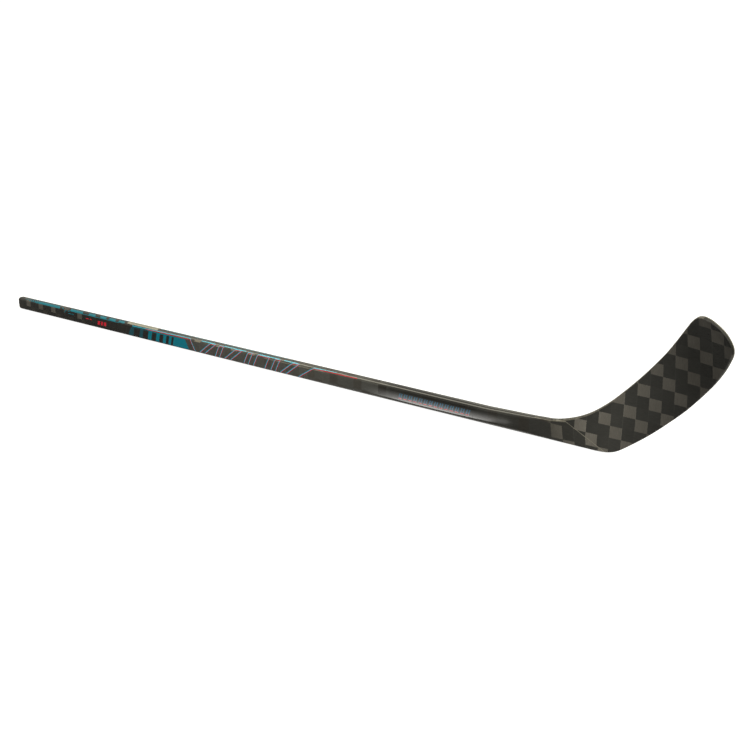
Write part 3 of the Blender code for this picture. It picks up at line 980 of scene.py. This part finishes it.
def hosel_stations():
    """Stations along the neck, which turn from upright to the slant of the heel seam."""
    stations = []
    for i in range(NECK_STEPS):
        u = mix(HOSEL_START + HAIR, FAN_START, i / NECK_STEPS)
        thickness = ramp(u, NECK_THICKNESS, ease=True)
        radius = SHAFT_RADIUS * thickness / SHAFT_WIDTH
        stations.append(Station(edge_at_u(LOWER_EDGE, u), edge_at_u(UPPER_EDGE, u), thickness, radius))
    start_radius = SHAFT_RADIUS * NECK_THICKNESS[-1][1] / SHAFT_WIDTH
    ply_share = 1 - PLY_EDGE / (SEAM_LOWER_U - FAN_START)
    for share in [i / FAN_STEPS for i in range(FAN_STEPS)] + [ply_share, 1]:
        lower = edge_at_u(LOWER_EDGE, mix(FAN_START, SEAM_LOWER_U, share))
        upper = edge_at_u(UPPER_EDGE, mix(FAN_START, SEAM_UPPER_U, share))
        radius = mix(start_radius, SEAM_CORNER_RADIUS, share)
        crown = mix(1, SEAM_CROWN, share * share)
        stations.append(Station(lower, upper, ramp(share, FAN_THICKNESS), radius, crown))
    return stations


# Pale band along the hosel's upper front corner, a painted highlight that carries the corner's reflection
# of the strip light on to the blade: where it starts and ends across the corner's arc, where it goes
# on over the top, and how many rings before the seam it is there.
HIGHLIGHT_START, HIGHLIGHT_END, WIDE_HIGHLIGHT_END = 0.865, 0.99, 1.19
HIGHLIGHT_RINGS, WIDE_HIGHLIGHT_RINGS = 22, 9


def highlight_columns(end):
    """Places in a section's ring from the painted highlight's start to an end, as shares of the corner's
    arc.
    """
    low, high = (FULL_PROFILE.wide + share * FULL_PROFILE.arc for share in (HIGHLIGHT_START, end))
    return {i for i, s in enumerate(STOPS) if low <= s < high}


def build_hosel(resin_and_painted_highlight):
    """Neck shell with its tenon, and a pale cut ply edge along the heel seam."""
    b = Builder()
    stations = hosel_stations()
    tenon = (HOSEL_START - TENON_LENGTH, HOSEL_START + HAIR)

    def shell_rings(inset, first):
        rings = [shaft_ring(u, TENON_INSET + inset) for u in tenon]
        return [b.ring(ring) for ring in rings + [station.section(inset) for station in stations[first:]]]

    outer, inner = shell_rings(0, 0), shell_rings(TENON_WALL, 1)
    # The painted highlight along the upper front corner, in pale resin, over the last rings before the seam.
    narrow_highlight, wide_highlight = highlight_columns(HIGHLIGHT_END), highlight_columns(WIDE_HIGHLIGHT_END)
    for i, (ring_a, ring_b) in enumerate(zip(outer, outer[1:])):
        from_end = len(outer) - 2 - i
        painted_highlight = wide_highlight if from_end < WIDE_HIGHLIGHT_RINGS else narrow_highlight if from_end < HIGHLIGHT_RINGS else set()
        b.bridge(ring_a, ring_b, lambda column: 1 if from_end == 0 else 2 if column in painted_highlight else 0)
    b.loft(inner)
    b.bridge(outer[0], inner[0])
    b.bridge(outer[-1], inner[-1], 1)
    resin_edge = layered("ply_edge_resin", ((0.17, 0.158, 0.125), (0.25, 0.232, 0.19)), 700, 0.4)
    b.finish("hosel", [carbon("hosel_carbon_weave"), resin_edge, resin_and_painted_highlight], "hosel_shell", "hosel_carbon")


# ---- the blade

SEAM_STATIONS = 16
CORE_STATIONS = 60
SKIN_FILLET = 0.6
FILLET_STEPS = 5
ACROSS_STEPS = 14
EDGE_STEPS = 6

# Width of the pale line along the skins' top edge, resin with a painted highlight, from the heel to the toe:
# (t, width).
PALE_EDGE_WIDTH = [(-30, 2.6), (60, 1.7), (120, 1), (260, 1)]


def blade_station(lower_t, upper_t):
    """Station across the blade between its two outlines."""
    thickness = ramp((lower_t + upper_t) / 2, BLADE_THICKNESS)
    return Station(edge_at_t(LOWER_EDGE, lower_t), edge_at_t(UPPER_EDGE, upper_t), thickness)


def seam_t(edge, u):
    """Place on the blade where an outline passes the heel seam, with a hair's gap."""
    _, v = to_shaft(*edge_at_u(edge, u))
    return to_blade(u + HAIR, v)[0]


def blade_stations():
    """Stations from the heel seam to the toe's ply line."""
    starts = seam_t(LOWER_EDGE, SEAM_LOWER_U), seam_t(UPPER_EDGE, SEAM_UPPER_U)
    stations = []
    for i in range(SEAM_STATIONS):
        stations.append(blade_station(*(mix(start, CORE_START, i / SEAM_STATIONS) for start in starts)))
    for i in range(CORE_STATIONS + 1):
        t = mix(CORE_START, TOE_PLY_LINE - HAIR / 2, i / CORE_STATIONS)
        stations.append(blade_station(t, t))
    return stations


def skin_ring(station, side):
    """Blade skin's section: rounded edges outside, flat inside. Side -1 is the forehand."""
    outside = station.thickness / 2
    inside = outside - SKIN_THICKNESS
    top = station.width
    fillet = []
    for i in range(FILLET_STEPS + 1):
        inset, out = quarter_turn(i, FILLET_STEPS)
        fillet.append((SKIN_FILLET * inset, inside + SKIN_THICKNESS * out))
    span = top - ramp(station.upper[0], PALE_EDGE_WIDTH) - SKIN_FILLET
    flat = [(SKIN_FILLET + span * i / ACROSS_STEPS, outside) for i in range(1, ACROSS_STEPS + 1)]
    high = [(top - across, depth) for across, depth in reversed(fillet)]
    back = [(top * (1 - i / ACROSS_STEPS), inside) for i in range(1, ACROSS_STEPS)]
    drop = 2 * CELL if side > 0 else 0
    return [station.point(across, side * depth, drop) for across, depth in fillet + flat + high + back]


def build_skins(resin_and_painted_highlight):
    """Front and back carbon laminates, with a narrow pale line along the top: resin, and a painted
    highlight.
    """
    # Pale line along the top edge: resin, with the top edge's highlight painted in.
    pale_line_start = FILLET_STEPS + ACROSS_STEPS
    pale_line = range(pale_line_start, pale_line_start + FILLET_STEPS + 1)
    for name, side in (("blade_front", -1), ("blade_back", 1)):
        b = Builder()
        rings = [b.ring(skin_ring(station, side)) for station in blade_stations()]
        b.loft(rings, lambda i: int(i in pale_line), caps=(0, -1))
        node = name + "_skin"
        b.finish(name, [carbon(name + "_weave"), resin_and_painted_highlight], node, node + "_carbon", CUT_SHARP)


def edge_ring(station, upper):
    """Rim laminate's section between the skins, along the upper or the lower outline."""
    depth = station.thickness / 2 - SKIN_THICKNESS - HAIR / 2
    edge, inner = (station.width, station.width - EDGE_BAND) if upper else (0, EDGE_BAND)
    corners = [(edge, depth * (2 * i / EDGE_STEPS - 1)) for i in range(EDGE_STEPS + 1)]
    return [station.point(*corner) for corner in corners + [(inner, depth), (inner, -depth)]]


def build_edges():
    """Rim laminates between the skins along both outlines."""
    laminate = layered("rim_laminate", ((0.06, 0.056, 0.045), (0.10, 0.093, 0.075)))
    for name, node, upper in (
            ("blade_lower_rim", "blade_edge_bottom", False), ("blade_upper_rim", "blade_edge_top", True)):
        b = Builder()
        b.loft([b.ring(edge_ring(station, upper)) for station in blade_stations()], caps=(0, -1))
        b.finish(name, [laminate], node, "edge_laminate")


TOE_FILLET = 0.9
TOE_STEPS = 26
TOE_WELD = 0.02
RIM_STEPS = 4
LEAST_RING = 2.2


def toe_outline():
    """Toe's open outline (t, w) from the ply line below round the tip, and its inward normals."""
    first = TOE_PLY_LINE + HAIR / 2
    second = first + PLY_EDGE * 0.7
    span = TOE_TIP[0] - second
    stops = [first] + [second + span * quarter_turn(i, TOE_STEPS)[1] for i in range(TOE_STEPS)]
    upper = [edge_at_t(UPPER_EDGE, t) for t in stops]
    rim = [edge_at_t(LOWER_EDGE, t) for t in stops] + [TOE_TIP] + upper[::-1]
    last = len(rim) - 1
    normals = [left_normal(rim[max(i - 1, 0)], rim[min(i + 1, last)]) for i in range(len(rim))]
    return rim, normals


def toe_ring(rim, normals, i):
    """Closed ring from the lower rim over the front to the upper rim and back over the rear."""
    j = len(rim) - 1 - i
    thickness = ramp(rim[i][0], BLADE_THICKNESS)
    radius = min(TOE_FILLET, math.dist(rim[i], rim[j]) / LEAST_RING) if i < j else TOE_FILLET
    flat_depth = thickness / 2 - TOE_FILLET

    def rounded(k, side, steps):
        """Fillet between the rim's flat part and a face, at the outline's point k."""
        points = []
        for step in steps:
            inset, out = quarter_turn(step, FILLET_STEPS)
            t, w = (rim[k][axis] + normals[k][axis] * radius * inset for axis in (0, 1))
            points.append((t, w, side * (flat_depth + TOE_FILLET * out)))
        return points

    def across(side, start, end):
        """Points of a face between two fillets."""
        points = []
        for step in range(1, ACROSS_STEPS):
            t, w = (mix(start[axis], end[axis], step / ACROSS_STEPS) for axis in (0, 1))
            points.append((t, w, side * thickness / 2))
        return points

    def edge(k, side):
        """Points across the rim's flat part, from the side's fillet to the other one."""
        return [(*rim[k], side * flat_depth * (1 - 2 * step / RIM_STEPS)) for step in range(1, RIM_STEPS)]

    up, down = range(FILLET_STEPS + 1), range(FILLET_STEPS, -1, -1)
    loop = []
    for side, first, last in ((-1, i, j), (1, j, i)):
        start, end = rounded(first, side, up), rounded(last, side, down)
        loop += start + across(side, start[-1], end[0]) + end + edge(last, side)
    return [(place(t, w, depth), weave_uv(*to_shaft(t, w))) for t, w, depth in loop]


def build_toe():
    """Moulded toe: woven faces, and a rim that is dark on its front side and pale on its back side."""
    rim, normals = toe_outline()
    corner = FILLET_STEPS + 1
    high_edge = 2 * corner + ACROSS_STEPS - 1
    back = high_edge + RIM_STEPS - 1 + corner
    low_edge = back + ACROSS_STEPS - 1 + corner
    woven = {*range(2, high_edge - 3), *range(back - 1, low_edge - corner)}
    pale = {*range(high_edge + RIM_STEPS - 2, back - 1), *range(low_edge - corner, low_edge)}
    b = Builder()
    rings = [b.ring(toe_ring(rim, normals, i)) for i in range(len(rim) // 2 + 1)]
    b.loft(rings, lambda i: 0 if i in woven else 1 if i in pale else 2, caps=(0,))
    materials = [
        carbon("toe_carbon_weave", shade=0.9),
        layered("toe_laminate", ((0.12, 0.112, 0.088), (0.20, 0.185, 0.15))),
        layered("dark_rim_laminate", ((0.010, 0.010, 0.009), (0.026, 0.024, 0.021)), coat=0.2),
    ]
    b.finish("blade_toe", materials, "blade_toe_edge", "toe_laminate", CUT_SHARP, TOE_WELD)


# ---- inner CAD pieces


def finish_inner_nodes():
    """Materials for the sealed inner pieces, which keep their CAD meshes."""
    pale_foam = foam("blade_core_foam", (0.80, 0.76, 0.64))
    finishes = {
        "tenon_adhesive": moulded("cured_epoxy", (0.55, 0.44, 0.24), 0.3, 500, 0.05, 0.2),
        "hosel_foam_core": foam("hosel_core_foam", (0.78, 0.72, 0.58)),
        "heel_insert": moulded("heel_block_resin", (0.10, 0.09, 0.085), 0.5, 600, 0.2, 0.2),
        "blade_core_lower": pale_foam,
        "blade_core_upper": pale_foam,
        "blade_rib": layered("rib_plies", ((0.03, 0.03, 0.03), (0.07, 0.065, 0.06)), roughness=0.45),
    }
    for node, finish in finishes.items():
        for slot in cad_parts[node].material_slots:
            slot.material = finish


# ---- studio

# The floor, in metres: half its side, and how far it lies below the stick.
FLOOR_HALF = 30
FLOOR_DROP = 0.0015

# Studio brightness against the direction's height: (-1 straight down to 1 straight up, level).
SKY = [
    (-1, 1.1), (-0.86, 1), (-0.74, 0.05), (-0.1, 0.05), (0.05, 0.08), (0.2, 0.26), (0.35, 0.36),
    (0.5, 0.30), (0.7, 0.35), (1, 0.6),
]
SKY_TINT = (1, 0.975, 0.90)

# Strip light overhead along the stick: where its edges fade, backwards over up and sideways over up.
STRIP_ACROSS = ((-0.48, -0.32), (0.22, 0.06))
STRIP_ALONG = (-1.45, -0.85)
STRIP_LEVEL = 4.5
STRIP_TINT = (1, 0.955, 0.78)

# Pale panel at the back: where its side fades, as sideways over backwards, and its level.
PANEL_SIDE = (-0.74, -0.60)
PANEL_LEVEL = 0.45

# White that the camera sees past the stick.
BACKDROP_LEVEL = 1.05

# Card in front of the neck, in millimetres from the heel point: how far in front, its corners, where
# it fades (its right fade leans below a height), how it brightens downwards, and its level.
CARD_FRONT = 475
CARD_LEFT, CARD_RIGHT, CARD_BOTTOM, CARD_TOP = -960, -340, -620, -110
CARD_LEFT_FADE = (-840, -690)
CARD_RIGHT_FADE = (-360, -437)
CARD_LEAN = 1.1
CARD_LEAN_FROM = -181
CARD_RISE = (-122, -268)
CARD_LOW_FADE = (-610, -430)
CARD_POWER = 1.75
CARD_LEVEL = 9


def staged_quad(name, corners, material):
    """Flat four-sided object through corners in metres, which isn't part of the stick."""
    mesh = bpy.data.meshes.new(name)
    mesh.from_pydata(corners, [], [(0, 1, 2, 3)])
    quad = linked_object(name, mesh, [material])
    return quad


def build_floor():
    """Plain pale floor that glows like a light table. Reflections look past it into the dark studio."""
    n = Nodes("floor_paint")
    n.set(Base_Color=(0.22, 0.22, 0.219, 1), Roughness=0.9, Specular_IOR_Level=0)
    n.set(Emission_Color=(1, 1, 0.995, 1), Emission_Strength=0.98)
    signs = ((-1, -1), (1, -1), (1, 1), (-1, 1))
    corners = [(x * FLOOR_HALF, y * FLOOR_HALF, -FLOOR_DROP) for x, y in signs]
    staged_quad("floor", corners, n.owner).visible_glossy = False


def build_world():
    """Dim studio with a strip light and a back panel, and white where the camera looks past."""
    n = Nodes("studio", True, bpy.data.worlds)
    bpy.context.scene.world = n.owner
    direction = n.out("TexCoord")  # Generated
    x, y, z = n.add("SeparateXYZ", {0: direction}).outputs
    height = n.math("MULTIPLY_ADD", z, 0.5, 0.5)
    sky = n.colour_ramp(height, [((knot + 1) / 2, level) for knot, level in SKY])

    up = n.math("MAXIMUM", z, 0.001)
    across, along = n.math("DIVIDE", y, up), n.math("DIVIDE", x, up)
    strip = n.product(
        n.fade(across, *STRIP_ACROSS[0]), n.fade(across, *STRIP_ACROSS[1]),
        n.fade(along, *STRIP_ALONG), n.fade(z, 0.1, 0.3), STRIP_LEVEL)
    sideways = n.math("DIVIDE", x, n.math("MAXIMUM", y, 0.001))
    panel = n.product(n.fade(sideways, *PANEL_SIDE), n.fade(y, 0.1, 0.3), n.fade(z, 0.1, 0.25), PANEL_LEVEL)

    light = n.vector("SCALE", {0: SKY_TINT, "Scale": sky})
    for level in (strip, panel):
        light = n.vector("ADD", {0: light, 1: n.vector("SCALE", {0: STRIP_TINT, "Scale": level})})
    tent = n.out("Background", {"Color": light})
    white = n.out("Background", {"Color": (1, 1, 1, 1), "Strength": BACKDROP_LEVEL})
    seen = n.out("LightPath")  # Is Camera Ray
    n.add("OutputWorld", {0: n.out("MixShader", {0: seen, 1: tent, 2: white})})


def card_material():
    """Glow that brightens downwards, with a slanted right end."""
    n = Nodes("card_glow", empty=True)
    x, _, z = n.add("SeparateXYZ", {0: n.object_position()}).outputs
    x, z = n.product(x, 1 / MM), n.product(z, 1 / MM)
    below = n.math("MAXIMUM", n.math("SUBTRACT", CARD_LEAN_FROM, z), 0)
    leaned = n.math("MULTIPLY_ADD", below, CARD_LEAN, x)
    rise = n.math("POWER", n.spread(z, 0, 1, *CARD_RISE), CARD_POWER)
    sides = n.product(n.fade(x, *CARD_LEFT_FADE), n.fade(leaned, *CARD_RIGHT_FADE))
    strength = n.product(sides, rise, n.fade(z, *CARD_LOW_FADE), CARD_LEVEL)
    glow = n.out("Emission", {"Color": (1, 0.985, 0.94, 1), "Strength": strength})
    n.add("OutputMaterial", {0: glow})
    return n.owner


def build_card():
    """Glowing card that only reflections see."""
    places = (
        (CARD_LEFT, CARD_BOTTOM), (CARD_RIGHT, CARD_BOTTOM), (CARD_RIGHT, CARD_TOP), (CARD_LEFT, CARD_TOP))
    corners = [(x * MM, -CARD_FRONT * MM, z * MM) for x, z in places]
    card = staged_quad("reflection_card", corners, card_material())
    card.location = ORIGIN
    for ray in ("camera", "diffuse", "transmission", "shadow"):
        setattr(card, "visible_" + ray, False)


# Camera: place and target in millimetres from the heel point, and the lens in millimetres.
CAMERA_PLACE = (445.4, -1142.1, 490.4)
CAMERA_TARGET = (-432.83, 0, 36.92)
CAMERA_LENS = 42.11
SENSOR_WIDTH = 36
CLIP_END = 200


def build_camera():
    """Camera at the product view, level and aimed along the shaft."""
    data = bpy.data.cameras.new("camera")
    data.lens = CAMERA_LENS
    data.sensor_width = SENSOR_WIDTH
    data.clip_end = CLIP_END
    camera = bpy.data.objects.new("camera", data)
    bpy.context.scene.collection.objects.link(camera)
    camera.location = at(*CAMERA_PLACE)
    aim = at(*CAMERA_TARGET) - at(*CAMERA_PLACE)
    camera.rotation_euler = aim.to_track_quat("-Z", "Y").to_euler()
    bpy.context.scene.camera = camera


def main():
    bpy.context.scene.view_settings.view_transform = "Standard"
    build_camera()
    build_world()
    build_floor()
    build_card()
    # Pale resin: on the hosel's corner a painted highlight, on the blade's top edge resin with a painted
    # highlight.
    resin_and_painted_highlight = layered("resin_and_painted_highlight", ((0.10, 0.093, 0.073), (0.155, 0.144, 0.118)), 700, 0.4)
    build_shaft()
    build_cap()
    build_label()
    build_hosel(resin_and_painted_highlight)
    build_skins(resin_and_painted_highlight)
    build_edges()
    build_toe()
    finish_inner_nodes()


main()
